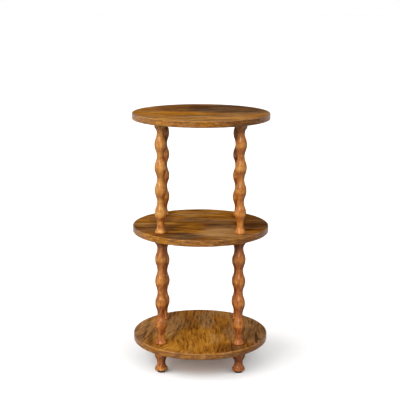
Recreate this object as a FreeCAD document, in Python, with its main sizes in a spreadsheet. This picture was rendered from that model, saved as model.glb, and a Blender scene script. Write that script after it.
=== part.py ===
import FreeCAD, Part
import os
import Sketcher

# Tiered side table: three round shelves, held apart by two tiers of four turned bobbin columns, on
# four turned feet. Hanger bolts in the column tops and feet pass through the shelves into insert nuts.
# Frame: Z up, origin on the floor at the middle of the shelves, front towards -Y. Millimetres.

SIZES = {
    # Shelves: a round panel with an edge band glued round it
    "shelf_diameter": 400,
    "shelf_thickness": 18,
    "edge_band_thickness": 3,
    "edge_band_round": 2,
    "glue_line": 0.1,
    # Columns: a flared base, beads and necks, and a head with a collar
    "column_inset": 40,
    "column_length": 314,
    "base_diameter": 32,
    "base_lip": 4,
    "base_round": 3,
    "base_cove_length": 26,
    "head_diameter": 33.5,
    "head_lip": 8,
    "head_round": 1.5,
    "head_cove_length": 26,
    "head_turn_share": 0.75,
    "bead_count": 4,
    "bead_diameter": 33,
    "neck_diameter": 20,
    # Feet: bun, neck and collar, from the floor up
    "foot_height": 63,
    "foot_bun_diameter": 37.5,
    "foot_bun_height": 4.5,
    "foot_base_inset": 3.5,
    "foot_neck_diameter": 23.5,
    "foot_collar_diameter": 38.5,
    "foot_collar_height": 13,
    "foot_top_inset": 1.5,
    "foot_neck_share": 0.43,
    "foot_bun_turn_share": 0.3,
    "foot_collar_turn_share": 0.5,
    # Glide pads
    "pad_diameter": 24,
    "pad_thickness": 5,
    "pad_round": 1,
    # Hanger bolts, and the insert nuts that they turn into
    "bolt_diameter": 8,
    "bolt_wood_length": 30,
    "bolt_point_length": 6,
    "bolt_chamfer": 1,
    "bolt_setback": 1,
    "insert_diameter": 12,
    "insert_length": 11,
    "insert_flange_diameter": 16,
    "insert_flange_thickness": 1.5,
    "bore_clearance": 0.1,
    "bore_overrun": 1,
}

# Where the legs stand round the table, in degrees
LEG_ANGLES = {"back_right": 45, "back_left": 135, "front_left": 225, "front_right": 315}
FIRST_LEG_ANGLE = LEG_ANGLES["back_right"]
FULL_TURN_ANGLE = 360

# A sketch's own indices for its axes, its origin and the points of a line, arc or circle
HORIZONTAL_AXIS_INDEX = -1
VERTICAL_AXIS_INDEX = -2
START_INDEX = 1
END_INDEX = 2
CENTRE_INDEX = 3
ORIGIN_POINT = (HORIZONTAL_AXIS_INDEX, START_INDEX)

UP = FreeCAD.Vector(0, 0, 1)

doc = FreeCAD.newDocument("TieredSideTable")
sheet = doc.addObject("Spreadsheet::Sheet", "sizes")
for row, (alias, size) in enumerate(SIZES.items(), start=1):
    sheet.set(f"A{row}", alias)
    sheet.set(f"B{row}", str(size))
    sheet.setAlias(f"B{row}", alias)
doc.recompute()

# Places and sizes that several pieces share, as expressions on the sheet
LEG_RADIUS = "(sizes.shelf_diameter / 2 - sizes.column_inset)"
CORE_RADIUS = "(sizes.shelf_diameter / 2 - sizes.edge_band_thickness - sizes.glue_line)"
BOLT_RADIUS = "sizes.bolt_diameter / 2"
BOLT_BORE_RADIUS = "(sizes.bolt_diameter / 2 + sizes.bore_clearance)"
INSERT_RADIUS = "sizes.insert_diameter / 2"
FLANGE_RADIUS = "sizes.insert_flange_diameter / 2"

FOOT_BASE = "sizes.pad_thickness"
BOTTOM_SHELF_BASE = f"({FOOT_BASE} + sizes.foot_height)"
LOWER_COLUMN_BASE = f"({BOTTOM_SHELF_BASE} + sizes.shelf_thickness)"
MIDDLE_SHELF_BASE = f"({LOWER_COLUMN_BASE} + sizes.column_length)"
UPPER_COLUMN_BASE = f"({MIDDLE_SHELF_BASE} + sizes.shelf_thickness)"
TOP_SHELF_BASE = f"({UPPER_COLUMN_BASE} + sizes.column_length)"


def number(expression):
    """The present value of an expression on the sheet, in millimetres."""
    return float(sheet.evalExpression(expression))


def origin_feature(body, role):
    return next(feature for feature in body.Origin.OriginFeatures if feature.Role == role)


def new_body(label, base="0", turned=0):
    """An empty body whose own origin stands at height base, turned about Z by an angle in degrees."""
    body = doc.addObject("PartDesign::Body", label)
    body.Label = label
    body.Placement = FreeCAD.Placement(FreeCAD.Vector(), FreeCAD.Rotation(UP, turned))
    body.setExpression("Placement.Base.z", base)
    return body


def place_at_leg(body, leg):
    angle = LEG_ANGLES[leg]
    body.setExpression("Placement.Base.x", f"{LEG_RADIUS} * cos({angle} deg)")
    body.setExpression("Placement.Base.y", f"{LEG_RADIUS} * sin({angle} deg)")


def new_sketch(body, name, role):
    sketch = body.newObject("Sketcher::SketchObject", name)
    sketch.AttachmentSupport = [(origin_feature(body, role), "")]
    sketch.MapMode = "FlatFace"
    return sketch


def bind(sketch, kind, first, second, expression):
    """A dimension between two points of a sketch, driven by the sheet."""
    constraint = Sketcher.Constraint(kind, *first, *second, number(expression))
    index = sketch.addConstraint(constraint)
    sketch.setExpression(f"Constraints[{index}]", expression)


def bind_radius(sketch, curve, expression):
    index = sketch.addConstraint(Sketcher.Constraint("Radius", curve, number(expression)))
    sketch.setExpression(f"Constraints[{index}]", expression)


def pin_point(sketch, point, across, along):
    """Fix a point at its distances from the sketch's axes; "0" puts it on the axis."""
    distances = (("DistanceX", VERTICAL_AXIS_INDEX, across), ("DistanceY", HORIZONTAL_AXIS_INDEX, along))
    for kind, axis, expression in distances:
        if expression == "0":
            sketch.addConstraint(Sketcher.Constraint("PointOnObject", *point, axis))
        else:
            bind(sketch, kind, ORIGIN_POINT, point, expression)


def arc_between(start, end, radius, swell):
    """An arc of a given radius, less than a half circle, that swells outward or inward."""
    chord = end - start
    half = chord.Length / 2
    sagitta = radius - (radius ** 2 - half ** 2) ** 0.5
    outward = FreeCAD.Vector(chord.y, -chord.x, 0).normalize()
    bulge = outward if swell == "outward" else -outward
    return Part.Arc(start, (start + end) / 2 + bulge * sagitta, end)


def draw_profile(sketch, corners, arcs):
    """A closed outline through corners (radius, height), with arcs on the sides numbered in arcs."""
    points = [FreeCAD.Vector(number(across), number(along), 0) for across, along in corners]
    sides = range(len(corners))
    ends = []
    for side in sides:
        start, end = points[side], points[(side + 1) % len(points)]
        if side in arcs:
            radius, swell = arcs[side]
            sketch.addGeometry(arc_between(start, end, number(radius), swell))
            in_order = swell == "outward"
        else:
            sketch.addGeometry(Part.LineSegment(start, end))
            in_order = True
        ends.append((START_INDEX, END_INDEX) if in_order else (END_INDEX, START_INDEX))
    for side in sides:
        following = (side + 1) % len(corners)
        sketch.addConstraint(
            Sketcher.Constraint("Coincident", side, ends[side][1], following, ends[following][0]))
    for side, (across, along) in enumerate(corners):
        pin_point(sketch, (side, ends[side][0]), across, along)
    for side, (radius, _) in arcs.items():
        bind_radius(sketch, side, radius)


def turn(body, name, corners, arcs=None, cut=False, axis_offset=None):
    """Turn a profile about the body's own axis, or about an upright one set off along its X."""
    sketch = new_sketch(body, f"{name}_profile", "XZ_Plane")
    if axis_offset:
        sketch.setExpression("AttachmentOffset.Base.x", axis_offset)
    draw_profile(sketch, corners, arcs or {})
    doc.recompute()
    before = body.Shape.Volume if cut else 0
    turning = body.newObject("PartDesign::Groove" if cut else "PartDesign::Revolution", name)
    turning.Profile = sketch
    turning.ReferenceAxis = (sketch, ["V_Axis"])
    turning.Angle = FULL_TURN_ANGLE
    doc.recompute()
    if cut and not turning.Shape.Volume < before:
        raise RuntimeError(f"{body.Label}: {name} removes nothing")
    return turning


def repeat_at_legs(body, feature):
    """Repeat a feature round the table, once for each leg."""
    pattern = body.newObject("PartDesign::PolarPattern", f"{feature.Name}_at_legs")
    pattern.Originals = [feature]
    pattern.Axis = (origin_feature(body, "Z_Axis"), [""])
    pattern.Angle = FULL_TURN_ANGLE
    pattern.Occurrences = len(LEG_ANGLES)
    body.Tip = pattern
    doc.recompute()


def arc_radius(span, rise):
    """Radius of an arc that leaves a crest or a neck straight along the axis and rises by a step."""
    return f"((({span}) ^ 2 + ({rise}) ^ 2) / (2 * ({rise})))"


def part_way(start, end, share):
    return f"({start} + {share} * ({end} - {start}))"


def insert_seat_corners():
    """Stepped bore for an insert nut, with its flange let in flush at height zero."""
    bore = f"({INSERT_RADIUS} + sizes.bore_clearance)"
    flange = f"({FLANGE_RADIUS} + sizes.bore_clearance)"
    depth = "(sizes.insert_length + sizes.bore_overrun)"
    return [
        ("0", "0"),
        (flange, "0"),
        (flange, "sizes.insert_flange_thickness"),
        (bore, "sizes.insert_flange_thickness"),
        (bore, depth),
        ("0", depth),
    ]


def bolt_bore_corners(top):
    """Blind bore for the wood end of a hanger bolt, from the top of a column or foot down."""
    floor = f"({top} - sizes.bolt_wood_length - sizes.bore_overrun)"
    return [
        ("0", floor),
        (BOLT_BORE_RADIUS, floor),
        (BOLT_BORE_RADIUS, top),
        ("0", top),
    ]


# Shelves

def make_panel(label, base):
    """Round panel of a shelf, without its edge band."""
    body = new_body(label, base, FIRST_LEG_ANGLE)
    sketch = new_sketch(body, f"{label}_outline", "XY_Plane")
    circle = sketch.addGeometry(Part.Circle(FreeCAD.Vector(), UP, number(CORE_RADIUS)))
    sketch.addConstraint(Sketcher.Constraint("Coincident", circle, CENTRE_INDEX, *ORIGIN_POINT))
    bind_radius(sketch, circle, CORE_RADIUS)
    panel = body.newObject("PartDesign::Pad", f"{label}_panel")
    panel.Profile = sketch
    panel.setExpression("Length", "sizes.shelf_thickness")
    doc.recompute()
    return body


def make_drilled_shelf(label, base):
    """Shelf with a bore right through it at each leg."""
    body = make_panel(label, base)
    corners = [
        ("0", "0"),
        (BOLT_BORE_RADIUS, "0"),
        (BOLT_BORE_RADIUS, "sizes.shelf_thickness"),
        ("0", "sizes.shelf_thickness"),
    ]
    repeat_at_legs(body, turn(body, f"{label}_bore", corners, cut=True, axis_offset=LEG_RADIUS))
    return body


def make_top_shelf(label, base):
    """Shelf with a blind seat for an insert nut in its underside at each leg."""
    body = make_panel(label, base)
    seat = turn(body, f"{label}_seat", insert_seat_corners(), cut=True, axis_offset=LEG_RADIUS)
    repeat_at_legs(body, seat)
    return body


def make_edge_band(label, base):
    """Ring round a shelf, with its two outer edges rounded."""
    body = new_body(label, base)
    outer = "sizes.shelf_diameter / 2"
    inner = f"({outer} - sizes.edge_band_thickness)"
    inset = f"({outer} - sizes.edge_band_round)"
    corners = [
        (inner, "0"),
        (inset, "0"),
        (outer, "sizes.edge_band_round"),
        (outer, "(sizes.shelf_thickness - sizes.edge_band_round)"),
        (inset, "sizes.shelf_thickness"),
        (inner, "sizes.shelf_thickness"),
    ]
    rounding = ("sizes.edge_band_round", "outward")
    turn(body, f"{label}_ring", corners, {1: rounding, 3: rounding})
    return body


# Columns

def column_profile():
    """Bobbin profile: a cove up from the base, beads and necks of equal arcs, an ogee out to the head."""
    length = "sizes.column_length"
    base = "sizes.base_diameter / 2"
    base_round = "sizes.base_round"
    head = "sizes.head_diameter / 2"
    head_round = "sizes.head_round"
    neck = "sizes.neck_diameter / 2"
    middle = "((sizes.bead_diameter + sizes.neck_diameter) / 4)"
    first_neck = "sizes.base_cove_length"
    last_neck = f"({length} - sizes.head_cove_length)"
    head_level = f"({length} - sizes.head_lip)"
    head_turn = "sizes.head_turn_share"
    pitch = f"(({last_neck} - {first_neck}) / sizes.bead_count)"

    base_flare = arc_radius(f"{first_neck} - sizes.base_lip", f"{base} - {neck}")
    wave_radius = arc_radius(f"{pitch} / 4", "(sizes.bead_diameter - sizes.neck_diameter) / 4")
    head_flare = arc_radius(f"{head_level} - {last_neck}", f"{head} - {neck}")
    neck_arc = (wave_radius, "inward")
    bead_arc = (wave_radius, "outward")
    head_turn_point = (part_way(neck, head, head_turn), part_way(last_neck, head_level, head_turn))

    corners = [("0", "0")]
    arcs = {}

    def go_to(across, along, arc=None):
        if arc:
            arcs[len(corners) - 1] = arc
        corners.append((across, along))

    go_to(f"({base} - {base_round})", "0")
    go_to(base, base_round, (base_round, "outward"))
    go_to(base, "sizes.base_lip")
    go_to(neck, first_neck, (base_flare, "inward"))
    for bead in range(int(sheet.bead_count)):
        go_to(middle, f"({first_neck} + ({bead} + 1 / 4) * {pitch})", neck_arc)
        go_to(middle, f"({first_neck} + ({bead} + 3 / 4) * {pitch})", bead_arc)
    go_to(neck, last_neck, neck_arc)
    go_to(*head_turn_point, (f"({head_turn} * {head_flare})", "inward"))
    go_to(head, head_level, (f"((1 - {head_turn}) * {head_flare})", "outward"))
    go_to(head, f"({length} - {head_round})")
    go_to(f"({head} - {head_round})", length, (head_round, "outward"))
    go_to("0", length)
    return corners, arcs


def make_column(label, base, leg):
    """Turned column with an insert seat in its lower end and a bolt bore in its upper end."""
    body = new_body(label, base)
    place_at_leg(body, leg)
    turn(body, f"{label}_bobbin", *column_profile())
    turn(body, f"{label}_seat", insert_seat_corners(), cut=True)
    turn(body, f"{label}_bore", bolt_bore_corners("sizes.column_length"), cut=True)
    return body


# Feet

def foot_profile():
    """Bun, neck and collar, each leading into the next by two tangent arcs."""
    height = "sizes.foot_height"
    bun = "sizes.foot_bun_diameter / 2"
    neck = "sizes.foot_neck_diameter / 2"
    collar = "sizes.foot_collar_diameter / 2"
    bun_level = "sizes.foot_bun_height"
    collar_level = f"({height} - sizes.foot_collar_height)"
    neck_level = part_way(bun_level, collar_level, "sizes.foot_neck_share")
    bun_turn = "sizes.foot_bun_turn_share"
    collar_turn = "sizes.foot_collar_turn_share"
    bun_fall = arc_radius(f"{neck_level} - {bun_level}", f"{bun} - {neck}")
    collar_rise = arc_radius(f"{collar_level} - {neck_level}", f"{collar} - {neck}")
    corners = [
        ("0", "0"),
        (f"({bun} - sizes.foot_base_inset)", "0"),
        (bun, bun_level),
        (part_way(bun, neck, bun_turn), part_way(bun_level, neck_level, bun_turn)),
        (neck, neck_level),
        (part_way(neck, collar, collar_turn), part_way(neck_level, collar_level, collar_turn)),
        (collar, collar_level),
        (f"({collar} - sizes.foot_top_inset)", height),
        ("0", height),
    ]
    arcs = {
        1: (arc_radius(bun_level, "sizes.foot_base_inset"), "outward"),
        2: (f"({bun_turn} * {bun_fall})", "outward"),
        3: (f"((1 - {bun_turn}) * {bun_fall})", "inward"),
        4: (f"({collar_turn} * {collar_rise})", "inward"),
        5: (f"((1 - {collar_turn}) * {collar_rise})", "outward"),
        6: (arc_radius("sizes.foot_collar_height", "sizes.foot_top_inset"), "outward"),
    }
    return corners, arcs


def make_foot(label, leg):
    body = new_body(label, FOOT_BASE)
    place_at_leg(body, leg)
    turn(body, f"{label}_turning", *foot_profile())
    turn(body, f"{label}_bore", bolt_bore_corners("sizes.foot_height"), cut=True)
    return body


def make_pad(label, leg):
    """Glide pad under a foot, with its lower edge rounded."""
    body = new_body(label)
    place_at_leg(body, leg)
    rim = "sizes.pad_diameter / 2"
    corners = [
        ("0", "0"),
        (f"({rim} - sizes.pad_round)", "0"),
        (rim, "sizes.pad_round"),
        (rim, "sizes.pad_thickness"),
        ("0", "sizes.pad_thickness"),
    ]
    turn(body, f"{label}_disc", corners, {1: ("sizes.pad_round", "outward")})
    return body


# Fasteners, in groups of one for each leg

def make_bolts(label, joint_level, passed_thickness):
    """Hanger bolts: a pointed wood end below joint_level, a plain machine end up into an insert nut."""
    body = new_body(label, f"({joint_level} - sizes.bolt_wood_length)", FIRST_LEG_ANGLE)
    reach = f"({passed_thickness} + sizes.insert_length - sizes.bolt_setback)"
    length = f"(sizes.bolt_wood_length + {reach})"
    corners = [
        ("0", "0"),
        (BOLT_RADIUS, "sizes.bolt_point_length"),
        (BOLT_RADIUS, f"({length} - sizes.bolt_chamfer)"),
        (f"({BOLT_RADIUS} - sizes.bolt_chamfer)", length),
        ("0", length),
    ]
    repeat_at_legs(body, turn(body, f"{label}_bolt", corners, axis_offset=LEG_RADIUS))
    return body


def make_inserts(label, base):
    """Flanged insert nuts, their flanges flush with the face that they are let into."""
    body = new_body(label, base, FIRST_LEG_ANGLE)
    corners = [
        (BOLT_BORE_RADIUS, "0"),
        (FLANGE_RADIUS, "0"),
        (FLANGE_RADIUS, "sizes.insert_flange_thickness"),
        (INSERT_RADIUS, "sizes.insert_flange_thickness"),
        (INSERT_RADIUS, "sizes.insert_length"),
        (BOLT_BORE_RADIUS, "sizes.insert_length"),
    ]
    repeat_at_legs(body, turn(body, f"{label}_insert", corners, axis_offset=LEG_RADIUS))
    return body


# The table, from the floor up

pieces = []
for leg in LEG_ANGLES:
    pieces.append(make_pad(f"{leg}_glide_pad", leg))
    pieces.append(make_foot(f"{leg}_foot", leg))
    pieces.append(make_column(f"{leg}_lower_column", LOWER_COLUMN_BASE, leg))
    pieces.append(make_column(f"{leg}_upper_column", UPPER_COLUMN_BASE, leg))

pieces.append(make_drilled_shelf("bottom_shelf", BOTTOM_SHELF_BASE))
pieces.append(make_drilled_shelf("middle_shelf", MIDDLE_SHELF_BASE))
pieces.append(make_top_shelf("top_shelf", TOP_SHELF_BASE))
pieces.append(make_edge_band("bottom_edge_band", BOTTOM_SHELF_BASE))
pieces.append(make_edge_band("middle_edge_band", MIDDLE_SHELF_BASE))
pieces.append(make_edge_band("top_edge_band", TOP_SHELF_BASE))

pieces.append(make_bolts("bottom_hanger_bolts", BOTTOM_SHELF_BASE, "sizes.shelf_thickness"))
pieces.append(make_bolts("middle_hanger_bolts", MIDDLE_SHELF_BASE, "sizes.shelf_thickness"))
pieces.append(make_bolts("top_hanger_bolts", TOP_SHELF_BASE, "0"))
pieces.append(make_inserts("lower_column_insert_nuts", LOWER_COLUMN_BASE))
pieces.append(make_inserts("upper_column_insert_nuts", UPPER_COLUMN_BASE))
pieces.append(make_inserts("top_shelf_insert_nuts", TOP_SHELF_BASE))

doc.recompute()
for item in doc.Objects:
    if "Invalid" in item.State or "Error" in item.State:
        raise RuntimeError(f"{item.Label} failed: {item.State}")
for piece in pieces:
    if piece.Shape.isNull() or not piece.Shape.isValid():
        raise RuntimeError(f"{piece.Label} has no valid shape")

os.makedirs("parts", exist_ok=True)
for piece in pieces:
    piece.Shape.exportStep(f"parts/{piece.Label}.step")
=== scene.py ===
"""Tiered side table: finishes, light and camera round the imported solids.

Metres, Z up, the front towards -Y, the origin on the floor under the middle of the shelves.
"""

import math

import bpy
from mathutils import Euler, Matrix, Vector


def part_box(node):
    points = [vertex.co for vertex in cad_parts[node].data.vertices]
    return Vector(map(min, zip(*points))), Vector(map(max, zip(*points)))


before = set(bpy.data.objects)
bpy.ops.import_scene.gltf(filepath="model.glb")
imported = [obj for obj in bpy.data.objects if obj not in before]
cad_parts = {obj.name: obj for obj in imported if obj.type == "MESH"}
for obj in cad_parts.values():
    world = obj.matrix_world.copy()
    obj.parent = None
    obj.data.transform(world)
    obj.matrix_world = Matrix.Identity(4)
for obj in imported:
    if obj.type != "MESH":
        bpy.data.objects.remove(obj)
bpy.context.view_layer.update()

QUARTER_TURN = math.radians(90)

# Camera, as fitted to the outlines of the three shelves
CAMERA_DISTANCE = 2.904
CAMERA_HEIGHT = 1.1198
CAMERA_ANGLE = math.radians(0.35)
CAMERA_PITCH = math.radians(-12.23)
CAMERA_ROLL = math.radians(0.25)
LENS_MM = 90.9
SENSOR_MM = 36.0
PHOTO_PIXELS = 400
TABLE_SHIFT_PIXELS = 0.8

# Light: soft suns over a dim even sky. Each has a strength, then its width, its turn from the front and
# its height in degrees. One set lights the table, and the other washes the floor white.
SUNS = {
    "table": {
        "key": (1.3, 76, 0, 16),
        "left_fill": (0.7, 80, -65, 28),
        "right_fill": (0.26, 80, 65, 28),
        "glint": (1.8, 18, -25, 26),
        "overhead": (1.5, 90, -40, 78),
        "back_fill": (0.4, 80, 180, 40),
    },
    "floor": {
        "left_wash": (4.5, 80, -65, 22),
        "right_wash": (2.7, 80, 65, 22),
        "front_wash": (1.8, 76, 0, 20),
        "back_wash": (0.85, 80, 180, 50),
    },
}
# The one sun that draws highlights
HIGHLIGHT_SUN = "glint"
# The sky as it lights the table, and as it is seen
SKY_STRENGTH = 0.08
SKY_SEEN = 1.0
SKY_COLOUR = (1, 1, 1, 1)

# Floor: its paint as seen, with painted warm bounce light under the table out to a distance, and its paint
# as it lights the table
FLOOR_SIZE = 60.0
FLOOR_DROP = 0.0002
FLOOR_SEEN = (0.96, 0.955, 0.95, 1.0)
FLOOR_PAINTED_BOUNCE = (0.96, 0.827, 0.741, 1.0)
PAINTED_BOUNCE_REACH = (0.09, 0.16)
FLOOR_BOUNCE = (0.09, 0.085, 0.08, 1.0)

# Legs: how far each axis stands from the middle on both sides, and the radii of its turned pieces
leg_low, leg_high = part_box("back_right_lower_column")
LEG_PLACE = (leg_low.x + leg_high.x) / 2
BEAD_RADIUS = 0.0165
COLUMN_NECK_RADIUS = 0.010
FOOT_BUN_RADIUS = 0.01875
FOOT_NECK_RADIUS = 0.01175


# Shader trees

# A noise runs from zero to one about this value
MIDDLE_VALUE = 0.5
EVEN_BLEND = 0.5
# A patch reaches so far up and down that only its outline on the shelf counts
PATCH_HEIGHT = 1e3
PATCH_EDGE = 0.5

# A bend is the scale of the slow noise and its reach
PATCH_BEND = (16.0, 0.02)

# Kinds of noise
COARSE = {"detail": 3, "roughness": 0.6}
STREAKY = {"detail": 4, "roughness": 0.65}


class Shader:
    """A material's node tree, with a short call for each kind of node that the finishes use."""

    def __init__(self, name):
        self.material = bpy.data.materials.new(name)
        self.material.use_nodes = True
        self.tree = self.material.node_tree
        self.tree.nodes.clear()
        self.place = self.add("ShaderNodeTexCoord").outputs["Object"]

    def add(self, kind, inputs=None, **settings):
        node = self.tree.nodes.new(kind)
        for name, value in settings.items():
            setattr(node, name, value)
        for name, value in (inputs or {}).items():
            self.feed(node.inputs[name], value)
        return node

    def feed(self, socket, value):
        if isinstance(value, bpy.types.NodeSocket):
            self.tree.links.new(value, socket)
        else:
            socket.default_value = value

    def math(self, operation, *values):
        node = self.add("ShaderNodeMath", operation=operation)
        for socket, value in zip(node.inputs, values):
            self.feed(socket, value)
        return node.outputs["Value"]

    def vector_math(self, operation, *values, output="Vector"):
        node = self.add("ShaderNodeVectorMath", operation=operation)
        for socket, value in zip(node.inputs, values):
            self.feed(socket, value)
        return node.outputs[output]

    def split(self, vector):
        return self.add("ShaderNodeSeparateXYZ", {"Vector": vector}).outputs

    def clamped(self, value):
        return self.add("ShaderNodeClamp", {"Value": value}).outputs["Result"]

    def total(self, start, *weighted):
        """A sum of fields about their middle value, each given as (field, weight)."""
        result = start
        for field, weight in weighted:
            centred = self.math("SUBTRACT", field, MIDDLE_VALUE)
            result = self.math("MULTIPLY_ADD", centred, weight, result)
        return result

    def step(self, value, low, high, lowest=0.0, highest=1.0):
        """A smooth step from lowest to highest while value goes from low to high."""
        node = self.add("ShaderNodeMapRange", interpolation_type="SMOOTHSTEP")
        node.clamp = True
        ends = (("From Min", low), ("From Max", high), ("To Min", lowest), ("To Max", highest))
        self.feed(node.inputs["Value"], value)
        for name, end in ends:
            node.inputs[name].default_value = end
        return node.outputs["Result"]

    def mapped(self, vector, scale=(1, 1, 1), turned=0.0, moved=(0, 0, 0)):
        inputs = {"Vector": vector, "Scale": scale, "Rotation": (0, 0, turned), "Location": moved}
        return self.add("ShaderNodeMapping", inputs).outputs["Vector"]

    def noise(self, vector, scale=1.0, detail=2.0, roughness=0.5, output="Fac"):
        inputs = {"Vector": vector, "Scale": scale, "Detail": detail, "Roughness": roughness}
        return self.add("ShaderNodeTexNoise", inputs).outputs[output]

    def lines(self, field, count):
        """Growth lines: waves from zero to one that follow a field."""
        waves = self.math("SINE", self.math("MULTIPLY", field, count))
        return self.math("MULTIPLY_ADD", waves, 0.5, 0.5)

    def bent(self, vector, scale, reach):
        """Coordinates pushed about by a slow noise, up to about reach."""
        push = self.noise(vector, scale, output="Color")
        centred = self.vector_math("SUBTRACT", push, (MIDDLE_VALUE, MIDDLE_VALUE, MIDDLE_VALUE))
        return self.vector_math("MULTIPLY_ADD", centred, (2 * reach, 2 * reach, 2 * reach), vector)

    def blob(self, vector, centre, radii, turned=0.0):
        """One over the inner half of an ellipse on the shelf, falling to nothing at its edge."""
        node = self.add("ShaderNodeMapping", {"Vector": vector}, vector_type="TEXTURE")
        node.inputs["Location"].default_value = (*centre, 0)
        node.inputs["Rotation"].default_value = (0, 0, turned)
        node.inputs["Scale"].default_value = (*radii, PATCH_HEIGHT)
        ball = self.add("ShaderNodeTexGradient", {"Vector": node.outputs["Vector"]})
        ball.gradient_type = "SPHERICAL"
        return self.step(ball.outputs["Fac"], 0, PATCH_EDGE)

    def patched(self, tone, tan, patches):
        """Tone and tan share, changed over soft patches of the shelf."""
        smudged = self.bent(self.place, *PATCH_BEND)
        for centre, radii, turn, tone_change, tan_change in patches:
            spot = self.blob(smudged, centre, radii, turn)
            tone = self.math("MULTIPLY_ADD", spot, tone_change, tone)
            tan = self.math("MULTIPLY_ADD", spot, tan_change, tan)
        return tone, self.clamped(tan)

    def sheen(self, level, start, end):
        """A specular level that fades to nothing as the surface turns away from the viewer."""
        facing = self.add("ShaderNodeLayerWeight", {"Blend": EVEN_BLEND}).outputs["Facing"]
        return self.step(facing, start, end, level, 0)

    def from_leg_axis(self):
        """The distance from the upright axis of the leg that a point belongs to."""
        folded = self.vector_math("ABSOLUTE", self.place)
        flat = self.vector_math("MULTIPLY", folded, (1, 1, 0))
        return self.vector_math("DISTANCE", flat, (LEG_PLACE, LEG_PLACE, 0), output="Value")

    def ramp(self, value, stops):
        node = self.add("ShaderNodeValToRGB", {"Fac": value})
        elements = node.color_ramp.elements
        while len(elements) < len(stops):
            elements.new(0.5)
        for element, (position, colour) in zip(elements, stops):
            element.position = position
            element.color = (*colour, 1)
        return node.outputs["Color"]

    def mix(self, share, first, second):
        inputs = {"Fac": share, "Color1": first, "Color2": second}
        return self.add("ShaderNodeMixRGB", inputs).outputs["Color"]

    def bump(self, height, distance):
        inputs = {"Height": height, "Distance": distance}
        return self.add("ShaderNodeBump", inputs).outputs["Normal"]

    def finish(self, colour, roughness, normal, others=None):
        inputs = {"Base Color": colour, "Roughness": roughness, "Normal": normal, **(others or {})}
        return self.show(self.add("ShaderNodeBsdfPrincipled", inputs))

    def show(self, surface):
        output = self.add("ShaderNodeOutputMaterial")
        self.tree.links.new(surface.outputs["BSDF"], output.inputs["Surface"])
        return self.material


# Finishes. The scales of their noises are repeats in a metre, along X, Y and Z.

# Sheen: its level, and from where to where it fades as the surface turns away
LAMINATE_SHEEN = (0.40, 0.20, 0.62)
LACQUER_SHEEN = (0.27, 0.25, 0.65)
EDGING_GLOSS = 0.15

# Relief and roughness that streaks and fibres give to every wooden finish
STREAK_RELIEF = 0.5
FIBRE_RELIEF = 0.5
FIBRE_ROUGHNESS = 0.10

# Laminate: scales of its grain before it is turned, and the bend of the grain
LAMINATE_BEND = (6.0, 0.015)
LAMINATE_BANDS = (4, 15, 15)
LAMINATE_LINES = 70
LAMINATE_FIGURE = (9, 42, 42)
LAMINATE_FIBRES = (40, 900, 900)
LAMINATE_PORES = (90, 1500, 1500)
LAMINATE_CLOUDS = (6, 16, 16)
# Laminate: from where to where, across the shelf, its grain leans
LEAN_REACH = (-0.12, -0.04)
# Laminate: dark marks, with the values of streaks, veins and pores between which they set in
STREAK_REACH = (0.50, 0.36)
DARK_STREAK = -0.25
VEIN_REACH = (0.02, 0.0)
DARK_VEIN = -0.14
PORE_REACH = (0.66, 0.74)
PORE_SHARE = 0.55
PORE_COLOUR = (0.030, 0.013, 0.006, 1)
PORE_RELIEF = -0.6
# Laminate: spread of its tan share, its roughness and the depth of its relief
TAN_REACH = (0.38, 0.62)
TAN_SPREAD = 0.5
LAMINATE_ROUGHNESS = 0.38
STREAK_ROUGHNESS = 0.3
LAMINATE_DEPTH = 0.00012

# Edging: scales of its grain round the rim, their weights, and the bend of the grain
EDGING_BEND = (9.0, 0.002)
EDGING_BANDS = (10, 10, 60)
EDGING_STREAKS = (60, 60, 260)
EDGING_FIBRES = (60, 60, 1200)
EDGING_WEIGHTS = (0.8, 1.7, 0.3)
EDGING_CLOUDS = 22
EDGING_TONE = 0.51
EDGING_TAN = (0.0, 0.4)
EDGING_ROUGHNESS = 0.40
EDGING_DEPTH = 0.0001
# Edging: how deep its dark edges run, where its painted highlight along the front gives way, from front to
# back, to a dark seam with painted shade, and the changes of tone
EDGE_DEPTH = 0.0025
EDGE_HIGHLIGHT_REACH = (-0.14, -0.04)
EDGE_PAINTED_HIGHLIGHT = 0.20
EDGE_SEAM_AND_SHADE = -0.35

GOLDEN_TONES = (
    (0.00, (0.075, 0.024, 0.005)),
    (0.25, (0.140, 0.047, 0.008)),
    (0.50, (0.260, 0.094, 0.012)),
    (0.75, (0.400, 0.158, 0.014)),
    (1.00, (0.560, 0.255, 0.040)),
)
TAN_TONES = (
    (0.00, (0.070, 0.036, 0.019)),
    (0.25, (0.130, 0.065, 0.029)),
    (0.50, (0.240, 0.115, 0.040)),
    (0.75, (0.370, 0.180, 0.058)),
    (1.00, (0.530, 0.285, 0.105)),
)


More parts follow.
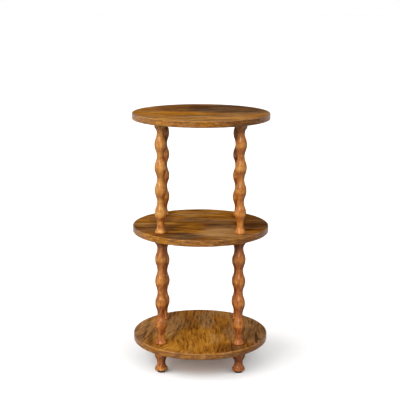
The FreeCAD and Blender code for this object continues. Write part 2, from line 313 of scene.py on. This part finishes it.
def laminate(name, turned, seed, streak_scale, weights, base_tone, tan_share, lean, patches):
    """Rustic wood-grain laminate: bands, growth lines, streaks and pores along the grain, and soft patches
    of print tone and painted shade.

    The weights are those of bands, lines, figure, streaks and fibres. The grain leans on the left side
    of the shelf.
    """
    shader = Shader(name)
    place = shader.split(shader.place)
    sheared = shader.math("MULTIPLY", place["Y"], shader.step(place["X"], *LEAN_REACH, lean, 0))
    lean_offset = shader.add("ShaderNodeCombineXYZ", {"X": sheared}).outputs["Vector"]
    leaned = shader.vector_math("ADD", shader.place, lean_offset)
    along = shader.mapped(leaned, turned=turned, moved=(seed, 0, 0))
    along = shader.bent(along, *LAMINATE_BEND)
    bands = shader.noise(shader.mapped(along, LAMINATE_BANDS), **COARSE)
    lines = shader.lines(bands, LAMINATE_LINES)
    figure = shader.noise(shader.mapped(along, LAMINATE_FIGURE), **COARSE)
    streaks = shader.noise(shader.mapped(along, streak_scale), **STREAKY)
    fibres = shader.noise(shader.mapped(along, LAMINATE_FIBRES))
    pores = shader.noise(shader.mapped(along, LAMINATE_PORES), detail=1)
    tone = shader.total(base_tone, *zip((bands, lines, figure, streaks, fibres), weights))
    tone = shader.math("ADD", tone, shader.step(streaks, *STREAK_REACH, 0, DARK_STREAK))
    veins = shader.math("ABSOLUTE", shader.math("SUBTRACT", figure, MIDDLE_VALUE))
    tone = shader.math("ADD", tone, shader.step(veins, *VEIN_REACH, 0, DARK_VEIN))
    clouds = shader.noise(shader.mapped(along, LAMINATE_CLOUDS), output="Color")
    clouds = shader.add("ShaderNodeSeparateColor", {"Color": clouds}).outputs["Green"]
    tan = shader.step(clouds, *TAN_REACH, tan_share - TAN_SPREAD, tan_share + TAN_SPREAD)
    tone, tan = shader.patched(tone, tan, patches)
    colour = shader.mix(tan, shader.ramp(tone, GOLDEN_TONES), shader.ramp(tone, TAN_TONES))
    pore_mask = shader.step(pores, *PORE_REACH, 0.0, PORE_SHARE)
    colour = shader.mix(pore_mask, colour, PORE_COLOUR)
    height = shader.total(MIDDLE_VALUE, (streaks, STREAK_RELIEF), (fibres, FIBRE_RELIEF),
                          (pore_mask, PORE_RELIEF))
    roughness = shader.total(LAMINATE_ROUGHNESS, (streaks, STREAK_ROUGHNESS), (fibres, FIBRE_ROUGHNESS))
    gloss = {"Specular IOR Level": shader.sheen(*LAMINATE_SHEEN)}
    return shader.finish(colour, roughness, shader.bump(height, LAMINATE_DEPTH), gloss)


def edge_band(name, node, seed, patches):
    """Edging with streaks along the rim, a dark seam with painted shade at its edges, and a painted
    highlight along the front of its upper edge.
    """
    low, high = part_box(node)
    shader = Shader(name)
    round_rim = shader.bent(shader.mapped(shader.place, moved=(0, 0, seed)), *EDGING_BEND)
    bands = shader.noise(shader.mapped(round_rim, EDGING_BANDS), **COARSE)
    streaks = shader.noise(shader.mapped(round_rim, EDGING_STREAKS), **STREAKY)
    fibres = shader.noise(shader.mapped(round_rim, EDGING_FIBRES))
    tone = shader.total(EDGING_TONE, *zip((bands, streaks, fibres), EDGING_WEIGHTS))
    tan = shader.step(shader.noise(round_rim, EDGING_CLOUDS), *TAN_REACH, *EDGING_TAN)
    tone, tan = shader.patched(tone, tan, patches)
    place = shader.split(shader.place)
    upper_edge = shader.step(place["Z"], high.z - EDGE_DEPTH, high.z - EDGE_DEPTH / 4)
    lower_edge = shader.step(place["Z"], low.z + EDGE_DEPTH, low.z + EDGE_DEPTH / 4)
    # Upper edge: a painted highlight along the front, and a dark seam with painted shade at the back and
    # sides. Lower edge: half that seam and shade all round
    edge_highlight_and_shade = shader.step(place["Y"], *EDGE_HIGHLIGHT_REACH, EDGE_PAINTED_HIGHLIGHT, EDGE_SEAM_AND_SHADE)
    tone = shader.math("MULTIPLY_ADD", upper_edge, edge_highlight_and_shade, tone)
    tone = shader.math("MULTIPLY_ADD", lower_edge, EDGE_SEAM_AND_SHADE / 2, tone)
    colour = shader.mix(tan, shader.ramp(tone, GOLDEN_TONES), shader.ramp(tone, TAN_TONES))
    height = shader.total(MIDDLE_VALUE, (streaks, STREAK_RELIEF), (fibres, FIBRE_RELIEF))
    roughness = shader.total(EDGING_ROUGHNESS, (streaks, STREAK_ROUGHNESS), (fibres, FIBRE_ROUGHNESS))
    gloss = {"Specular IOR Level": EDGING_GLOSS}
    return shader.finish(colour, roughness, shader.bump(height, EDGING_DEPTH), gloss)


# Turned wood: scales of its upright grain, their weights, and the bend of the grain
WOOD_BEND = (14.0, 0.004)
WOOD_BANDS = (34, 34, 5)
WOOD_LINES = 50
WOOD_BLOTCHES = (70, 70, 75)
WOOD_STREAKS = (230, 230, 16)
WOOD_FIBRES = (1100, 1100, 60)
WOOD_STAIN = (45, 45, 40)
BAND_WEIGHT = 0.6
LINE_WEIGHT = 0.06
BLOTCH_WEIGHT = 1.15
FIBRE_WEIGHT = 0.5
STAIN_REACH = (0.35, 0.65)
WOOD_ROUGHNESS = 0.29
WOOD_STREAK_ROUGHNESS = 0.2
WOOD_DEPTH = 0.0001
# Turned wood: changes of tone and of its honey share in a paler band where it is widest and in painted
# shade on its undersides, and where they set in; then the painted shade in its necks and where it sets in
WIDEST_PALING = (0.08, 0.15)
PALER_FROM = 0.95
UNDERSIDE_PAINTED_SHADE = (-0.12, -0.25)
UNDERSIDE_SHADE_REACH = (-0.25, -0.03)
NECK_PAINTED_SHADE = -0.10
NECK_SHADE_FROM = 1.2

RED_TONES = (
    (0.00, (0.110, 0.018, 0.002)),
    (0.30, (0.275, 0.066, 0.009)),
    (0.60, (0.455, 0.152, 0.020)),
    (1.00, (0.680, 0.310, 0.066)),
)
HONEY_TONES = (
    (0.00, (0.130, 0.032, 0.003)),
    (0.30, (0.305, 0.094, 0.014)),
    (0.60, (0.505, 0.214, 0.036)),
    (1.00, (0.720, 0.392, 0.105)),
)


def turned_wood(name, neck, widest, seed, base_tone, honey_share, figure):
    """Stained and lacquered wood with upright grain.

    It is paler where widest, and has painted shade on its undersides and in its necks.
    """
    shader = Shader(name)
    timber = shader.mapped(shader.place, moved=(0, 0, seed))
    upright = shader.bent(timber, *WOOD_BEND)
    bands = shader.noise(shader.mapped(upright, WOOD_BANDS))
    lines = shader.lines(bands, WOOD_LINES)
    blotches = shader.noise(shader.mapped(timber, WOOD_BLOTCHES), **COARSE)
    streaks = shader.noise(shader.mapped(upright, WOOD_STREAKS), **COARSE)
    fibres = shader.noise(shader.mapped(upright, WOOD_FIBRES))
    tone = shader.total(base_tone, (bands, BAND_WEIGHT * figure), (lines, LINE_WEIGHT),
                        (blotches, BLOTCH_WEIGHT * figure), (streaks, figure), (fibres, FIBRE_WEIGHT))
    stain = shader.noise(shader.mapped(timber, WOOD_STAIN), **COARSE)
    honey = shader.step(stain, *STAIN_REACH, honey_share - figure / 2, honey_share + figure / 2)
    radius = shader.from_leg_axis()
    normal = shader.add("ShaderNodeNewGeometry").outputs["Normal"]
    slope = shader.split(normal)["Z"]
    # A paler band where the piece is widest, and painted shade where the surface faces down
    widest_band = shader.step(radius, PALER_FROM * widest, widest)
    under = shader.step(slope, *UNDERSIDE_SHADE_REACH, 1, 0)
    for spot, (tone_change, honey_change) in ((widest_band, WIDEST_PALING), (under, UNDERSIDE_PAINTED_SHADE)):
        tone = shader.math("MULTIPLY_ADD", spot, tone_change, tone)
        honey = shader.math("MULTIPLY_ADD", spot, honey_change, honey)
    # Painted shade in the necks
    tone = shader.math("ADD", tone, shader.step(radius, NECK_SHADE_FROM * neck, neck, 0, NECK_PAINTED_SHADE))
    honey = shader.clamped(honey)
    colour = shader.mix(honey, shader.ramp(tone, RED_TONES), shader.ramp(tone, HONEY_TONES))
    height = shader.total(MIDDLE_VALUE, (streaks, STREAK_RELIEF), (fibres, FIBRE_RELIEF))
    roughness = shader.total(WOOD_ROUGHNESS, (streaks, WOOD_STREAK_ROUGHNESS), (fibres, FIBRE_ROUGHNESS))
    gloss = {"Specular IOR Level": shader.sheen(*LACQUER_SHEEN)}
    return shader.finish(colour, roughness, shader.bump(height, WOOD_DEPTH), gloss)


# Rubber and metal: scales, roughness and depth of their grain, and the cloud values of their two tones
RUBBER_GRAIN = 2500
RUBBER_CLOUDS = 120
RUBBER_DARK = (0.010, 0.010, 0.010)
RUBBER_PALE = (0.024, 0.023, 0.022)
RUBBER_ROUGHNESS = 0.75
RUBBER_GRAIN_ROUGHNESS = 0.2
RUBBER_DEPTH = 0.00006
METAL_MARKS = (40, 40, 6000)
METAL_CLOUDS = 160
METAL_ROUGHNESS = 0.34
METAL_MARK_ROUGHNESS = 0.12
METAL_CLOUD_ROUGHNESS = 0.2
METAL_DEPTH = 0.00002
DARK_CLOUD = 0.3
PALE_CLOUD = 0.7


def pad_rubber(name):
    """Black moulded rubber with a fine matt grain."""
    shader = Shader(name)
    grain = shader.noise(shader.place, RUBBER_GRAIN)
    clouds = shader.noise(shader.place, RUBBER_CLOUDS)
    colour = shader.ramp(clouds, ((DARK_CLOUD, RUBBER_DARK), (PALE_CLOUD, RUBBER_PALE)))
    roughness = shader.total(RUBBER_ROUGHNESS, (grain, RUBBER_GRAIN_ROUGHNESS))
    return shader.finish(colour, roughness, shader.bump(grain, RUBBER_DEPTH))


def plated_metal(name, dark, pale):
    """Plated metal with fine turning marks round each fastener and a clouded plating."""
    shader = Shader(name)
    marks = shader.noise(shader.mapped(shader.place, METAL_MARKS), detail=1)
    clouds = shader.noise(shader.place, METAL_CLOUDS, detail=3)
    colour = shader.ramp(clouds, ((DARK_CLOUD, dark), (PALE_CLOUD, pale)))
    roughness = shader.total(METAL_ROUGHNESS, (marks, METAL_MARK_ROUGHNESS),
                             (clouds, METAL_CLOUD_ROUGHNESS))
    return shader.finish(colour, roughness, shader.bump(marks, METAL_DEPTH), {"Metallic": 1.0})


# Patches of a shelf or its rim: (centre, radii, turn, tone change, tan change), in metres and radians.
# Besides the print's own changes of tone, they hold painted shade where the shelves grow darker towards
# the back and right, painted light at the top rim's left end, and painted shade at the rims' right ends.
TOP_PATCHES = (
    ((0.095, 0.085), (0.16, 0.15), 0.0, -0.44, 0.6),
    ((-0.06, 0.11), (0.10, 0.13), 0.0, -0.26, -0.4),
    ((-0.07, -0.03), (0.07, 0.07), 0.0, -0.07, 0.0),
    ((0.16, -0.05), (0.10, 0.07), 0.0, -0.04, 0.4),
    ((0.03, -0.14), (0.20, 0.10), 0.0, 0.08, 0.6),
)
MIDDLE_PATCHES = (
    ((-0.17, 0.05), (0.07, 0.08), 0.0, 0.10, -0.1),
    ((-0.12, 0.06), (0.05, 0.07), 0.0, -0.20, 0.2),
    ((-0.15, -0.035), (0.10, 0.04), 0.0, -0.22, 0.0),
    ((-0.075, -0.145), (0.09, 0.06), 0.0, -0.22, 0.3),
    ((0.06, -0.11), (0.09, 0.08), 0.0, 0.19, 0.7),
    ((0.17, 0.03), (0.09, 0.16), 0.0, -0.31, 0.0),
)
BOTTOM_PATCHES = (
    ((-0.01, -0.10), (0.15, 0.17), 0.0, 0.17, -0.7),
    ((0.18, 0.02), (0.11, 0.20), 0.0, -0.10, 0.7),
    ((-0.17, 0.03), (0.09, 0.18), 0.0, 0.07, 0.5),
    ((-0.14, -0.09), (0.06, 0.06), 0.0, -0.05, 0.0),
    ((-0.147, -0.05), (0.012, 0.09), -0.06, -0.30, -0.1),
    ((-0.164, -0.034), (0.008, 0.06), -0.03, -0.22, -0.1),
    ((-0.156, -0.03), (0.008, 0.05), -0.05, 0.18, 0.0),
    ((-0.133, -0.127), (0.007, 0.04), -0.12, -0.24, 0.0),
    ((-0.179, -0.069), (0.024, 0.04), 0.0, -0.14, 0.0),
    ((0.11, -0.15), (0.11, 0.065), 0.0, -0.31, -0.2),
    ((0.165, -0.062), (0.006, 0.065), 0.06, -0.5, 0.0),
    ((0.178, -0.066), (0.03, 0.009), 0.0, -0.35, 0.0),
)
TOP_RIM_PATCHES = (
    ((-0.15, -0.13), (0.12, 0.12), 0.0, 0.12, 0.2),
    ((0.02, -0.2), (0.08, 0.06), 0.0, 0.03, 0.0),
    ((0.13, -0.155), (0.09, 0.09), 0.0, -0.26, -0.2),
)
MIDDLE_RIM_PATCHES = (
    ((0.17, -0.1), (0.07, 0.10), 0.0, -0.12, -0.1),
)
BOTTOM_RIM_PATCHES = (
    ((0.0, -0.2), (0.2, 0.1), 0.0, 0.0, 0.3),
    ((0.16, -0.12), (0.08, 0.08), 0.0, -0.10, -0.2),
)

SHELF_FINISHES = {
    "top": laminate(
        "top_laminate", turned=0.0, seed=16.8, streak_scale=(8, 110, 110),
        weights=(0.7, 0.12, 0.8, 1.1, 0.4), base_tone=0.60, tan_share=0.35, lean=0.0,
        patches=TOP_PATCHES),
    "middle": laminate(
        "middle_laminate", turned=0.0, seed=13.92, streak_scale=(10, 120, 120),
        weights=(0.9, 0.12, 0.9, 1.1, 0.4), base_tone=0.54, tan_share=0.32, lean=0.0,
        patches=MIDDLE_PATCHES),
    "bottom": laminate(
        "bottom_laminate", turned=QUARTER_TURN, seed=13.78, streak_scale=(14, 150, 150),
        weights=(0.5, 0.08, 0.5, 1.0, 0.4), base_tone=0.635, tan_share=0.62, lean=-0.3,
        patches=BOTTOM_PATCHES),
}
BAND_FINISHES = {
    "top": edge_band("top_edging", "top_edge_band", 0.0, TOP_RIM_PATCHES),
    "middle": edge_band("middle_edging", "middle_edge_band", 5.46, MIDDLE_RIM_PATCHES),
    "bottom": edge_band("bottom_edging", "bottom_edge_band", 0.7, BOTTOM_RIM_PATCHES),
}
# Columns and feet by place: seed of the timber, tone, share of honey stain over red, and strength of
# the figure. The darker tones of the lower, back and right columns are painted shade.
COLUMN_STAINS_AND_SHADE = {
    "front_left_upper": (0.31, 0.66, 0.48, 1.0),
    "front_right_upper": (3.72, 0.62, 0.14, 0.7),
    "front_left_lower": (1.24, 0.49, 0.15, 0.9),
    "front_right_lower": (3.41, 0.46, -0.08, 0.65),
    "back_left_upper": (0.0, 0.46, 0.05, 1.0),
    "back_right_upper": (0.0, 0.40, 0.05, 1.0),
    "back_left_lower": (0.0, 0.44, 0.05, 1.0),
    "back_right_lower": (0.0, 0.32, 0.05, 1.0),
}
FOOT_STAINS = {
    "front_left": (0.62, 0.48, 0.35, 1.0),
    "front_right": (2.48, 0.40, 0.10, 0.8),
    "back_left": (0.0, 0.44, 0.20, 1.0),
    "back_right": (0.0, 0.44, 0.20, 1.0),
}
COLUMN_FINISHES = {
    place: turned_wood(f"{place}_column_wood", COLUMN_NECK_RADIUS, BEAD_RADIUS, *stain)
    for place, stain in COLUMN_STAINS_AND_SHADE.items()
}
FOOT_FINISHES = {
    place: turned_wood(f"{place}_foot_wood", FOOT_NECK_RADIUS, FOOT_BUN_RADIUS, *stain)
    for place, stain in FOOT_STAINS.items()
}
RUBBER = pad_rubber("pad_rubber")
BOLT = plated_metal("bolt_plating", dark=(0.42, 0.42, 0.40), pale=(0.64, 0.64, 0.62))
INSERT = plated_metal("insert_casting", dark=(0.50, 0.48, 0.42), pale=(0.70, 0.68, 0.60))


def finish_of(node):
    words = node.split("_")
    if node.endswith("_shelf"):
        return SHELF_FINISHES[words[0]]
    if node.endswith("_edge_band"):
        return BAND_FINISHES[words[0]]
    if node.endswith("_hanger_bolts"):
        return BOLT
    if node.endswith("_insert_nuts"):
        return INSERT
    if node.endswith("_glide_pad"):
        return RUBBER
    if node.endswith("_foot"):
        return FOOT_FINISHES[node.removesuffix("_foot")]
    return COLUMN_FINISHES[node.removesuffix("_column")]


for node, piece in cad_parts.items():
    for slot in piece.material_slots:
        slot.material = finish_of(node)


# Stage

def seen_directly(tree):
    """One for what the camera sees, straight or by way of gloss or glass, and zero for other light."""
    path = tree.nodes.new("ShaderNodeLightPath")
    seen = path.outputs["Is Camera Ray"]
    for name in ("Is Glossy Ray", "Is Transmission Ray"):
        either = tree.nodes.new("ShaderNodeMath")
        either.operation = "MAXIMUM"
        tree.links.new(seen, either.inputs[0])
        tree.links.new(path.outputs[name], either.inputs[1])
        seen = either.outputs["Value"]
    return seen


def add_floor():
    half = FLOOR_SIZE / 2
    corners = [(-half, -half, -FLOOR_DROP), (half, -half, -FLOOR_DROP),
               (half, half, -FLOOR_DROP), (-half, half, -FLOOR_DROP)]
    mesh = bpy.data.meshes.new("floor")
    mesh.from_pydata(corners, [], [(0, 1, 2, 3)])
    floor = bpy.data.objects.new("floor", mesh)
    bpy.context.scene.collection.objects.link(floor)
    shader = Shader("floor_paint")
    from_middle = shader.vector_math("LENGTH", shader.place, output="Value")
    # Painted warm bounce light on the floor under the table, fading out across its reach
    painted_bounce = shader.step(from_middle, *PAINTED_BOUNCE_REACH, 1, 0)
    paint = shader.mix(painted_bounce, FLOOR_SEEN, FLOOR_PAINTED_BOUNCE)
    paint = shader.mix(seen_directly(shader.tree), FLOOR_BOUNCE, paint)
    mesh.materials.append(shader.show(shader.add("ShaderNodeBsdfDiffuse", {"Color": paint})))
    return floor


def add_sky():
    world = bpy.data.worlds.new("sky")
    bpy.context.scene.world = world
    world.use_nodes = True
    tree = world.node_tree
    strength = tree.nodes.new("ShaderNodeMath")
    strength.operation = "MULTIPLY_ADD"
    tree.links.new(seen_directly(tree), strength.inputs[0])
    strength.inputs[1].default_value = SKY_SEEN - SKY_STRENGTH
    strength.inputs[2].default_value = SKY_STRENGTH
    background = tree.nodes["Background"]
    background.inputs["Color"].default_value = SKY_COLOUR
    tree.links.new(strength.outputs["Value"], background.inputs["Strength"])


def add_sun(name, lit, strength, width, turn, height):
    """A sun that shines down on the lit pieces at height from the front, turned about the table."""
    lamp = bpy.data.lights.new(name, "SUN")
    lamp.energy = strength
    lamp.angle = math.radians(width)
    sun = bpy.data.objects.new(name, lamp)
    sun.rotation_euler = Euler((QUARTER_TURN - math.radians(height), 0, math.radians(turn)))
    sun.light_linking.receiver_collection = lit
    sun.visible_glossy = name == HIGHLIGHT_SUN
    bpy.context.scene.collection.objects.link(sun)


def add_camera():
    lens = bpy.data.cameras.new("camera")
    lens.lens = LENS_MM
    lens.sensor_width = SENSOR_MM
    lens.shift_x = -TABLE_SHIFT_PIXELS / PHOTO_PIXELS
    camera = bpy.data.objects.new("camera", lens)
    camera.location = Vector((CAMERA_DISTANCE * math.sin(CAMERA_ANGLE),
                              -CAMERA_DISTANCE * math.cos(CAMERA_ANGLE), CAMERA_HEIGHT))
    aim = Euler((QUARTER_TURN + CAMERA_PITCH, 0, CAMERA_ANGLE)).to_matrix()
    camera.rotation_euler = (aim @ Euler((0, 0, CAMERA_ROLL)).to_matrix()).to_euler()
    bpy.context.scene.collection.objects.link(camera)
    bpy.context.scene.camera = camera


stage_sets = {"table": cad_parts.values(), "floor": [add_floor()]}
for set_name, pieces in stage_sets.items():
    lit_set = bpy.data.collections.new(set_name)
    for piece in pieces:
        lit_set.objects.link(piece)
    for sun_name, sun in SUNS[set_name].items():
        add_sun(sun_name, lit_set, *sun)
add_sky()
add_camera()
bpy.context.scene.view_settings.view_transform = "Standard"
